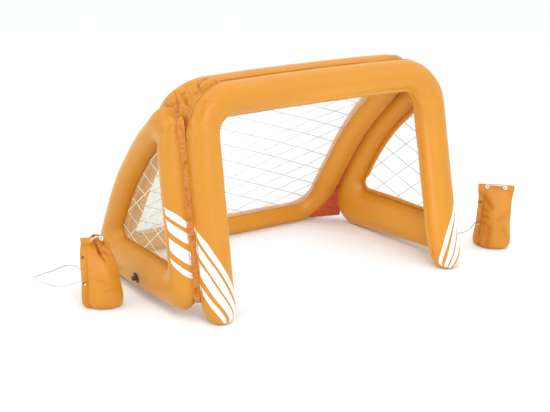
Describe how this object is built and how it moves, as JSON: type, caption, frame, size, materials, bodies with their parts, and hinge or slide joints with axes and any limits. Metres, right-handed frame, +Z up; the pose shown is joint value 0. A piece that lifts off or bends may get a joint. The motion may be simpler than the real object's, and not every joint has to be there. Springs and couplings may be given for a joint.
{
  "type": "inflatable pool goal",
  "caption": "Free-standing inflatable goal: leaning arch, triangular sides, sloping back, clear net-printed windows, plug valves and tethered anchor bags.",
  "frame": {"origin": "on the floor, under the middle of the goal and its bags, the cords left out", "axes": "+X to the right of someone who looks into the mouth, +Y from the mouth to the back, +Z up"},
  "size_m": [1.8218, 0.8922, 0.8069],
  "materials": {
    "orange_vinyl": "soft glossy orange PVC film, welded",
    "seam_vinyl": "puckered red-orange PVC film in the welds",
    "printed_film": "clear, slightly milky PVC film with a white diamond print",
    "black_plastic": "black soft PVC, satin",
    "white_plastic": "white moulded plastic",
    "white_cord": "white braided cord"
  },
  "bodies": {
    "goal": {"front_arch": "orange_vinyl", "left_side_frame": "orange_vinyl", "right_side_frame": "orange_vinyl", "back_frame": "orange_vinyl", "left_window_film": "printed_film", "right_window_film": "printed_film", "back_window_film": "printed_film", "left_post_seam": "orange_vinyl", "right_post_seam": "orange_vinyl", "left_slant_seam": "seam_vinyl", "right_slant_seam": "seam_vinyl", "top_bar_seam": "orange_vinyl", "left_floor_gusset": "seam_vinyl", "right_floor_gusset": "seam_vinyl", "left_top_web": "orange_vinyl", "right_top_web": "orange_vinyl", "arch_valve": "black_plastic", "left_side_valve": "black_plastic", "right_side_valve": "black_plastic", "back_valve": "black_plastic", "left_tether_tab": "orange_vinyl", "left_tether_eyelet": "black_plastic", "right_tether_tab": "orange_vinyl", "right_tether_eyelet": "black_plastic"},
    "arch_cap": {"arch_valve_cap": "black_plastic"},
    "left_side_cap": {"left_side_valve_cap": "black_plastic"},
    "right_side_cap": {"right_side_valve_cap": "black_plastic"},
    "back_cap": {"back_valve_cap": "black_plastic"},
    "left_anchor": {"left_anchor_bag": "orange_vinyl", "left_bag_ring_inner": "white_plastic", "left_bag_ring_outer": "white_plastic", "left_bag_eyelet_lower": "black_plastic", "left_bag_eyelet_upper": "black_plastic", "left_flap_knot": "white_cord", "left_bag_knot": "white_cord", "left_tether_cord": "white_cord"},
    "left_handle": {"left_bag_handle": "white_cord"},
    "right_anchor": {"right_anchor_bag": "orange_vinyl", "right_bag_ring_inner": "white_plastic", "right_bag_ring_outer": "white_plastic", "right_bag_eyelet_lower": "black_plastic", "right_bag_eyelet_upper": "black_plastic", "right_flap_knot": "white_cord", "right_bag_knot": "white_cord", "right_tether_cord": "white_cord"},
    "right_handle": {"right_bag_handle": "white_cord"}
  },
  "joints": [
    {"name": "arch_cap_hinge", "type": "hinge", "parent": "goal", "child": "arch_cap", "pos_m": [-0.52348, -0.29157, 0.19263], "axis": [0.8623, -0.4978, 0.093], "range_deg": [0, 120]},
    {"name": "left_side_cap_hinge", "type": "hinge", "parent": "goal", "child": "left_side_cap", "pos_m": [-0.68757, -0.00948, 0.06587], "axis": [0.1715, 0, -0.9852], "range_deg": [0, 120]},
    {"name": "right_side_cap_hinge", "type": "hinge", "parent": "goal", "child": "right_side_cap", "pos_m": [0.63316, -0.00948, 0.06587], "axis": [0.1715, 0, 0.9852], "range_deg": [0, 120]},
    {"name": "back_cap_hinge", "type": "hinge", "parent": "goal", "child": "back_cap", "pos_m": [0.30579, 0.44341, 0.0385], "axis": [0, 0, -1], "range_deg": [0, 120]},
    {"name": "left_anchor_swing", "type": "hinge", "parent": "goal", "child": "left_anchor", "pos_m": [-0.68199, 0.15119, 0.045], "axis": [0, 0, 1], "range_deg": [-15, 4]},
    {"name": "right_anchor_swing", "type": "hinge", "parent": "goal", "child": "right_anchor", "pos_m": [0.62757, 0.15119, 0.045], "axis": [0, 0, 1], "range_deg": [-4, 15]},
    {"name": "left_handle_swing", "type": "hinge", "parent": "left_anchor", "child": "left_handle", "pos_m": [-0.85217, -0.04628, 0.255], "axis": [0.9848, -0.1736, 0], "range_deg": [0, 40]},
    {"name": "right_handle_swing", "type": "hinge", "parent": "right_anchor", "child": "right_handle", "pos_m": [0.84588, -0.32057, 0.255], "axis": [0.7132, -0.7009, 0], "range_deg": [0, 40]}
  ]
}
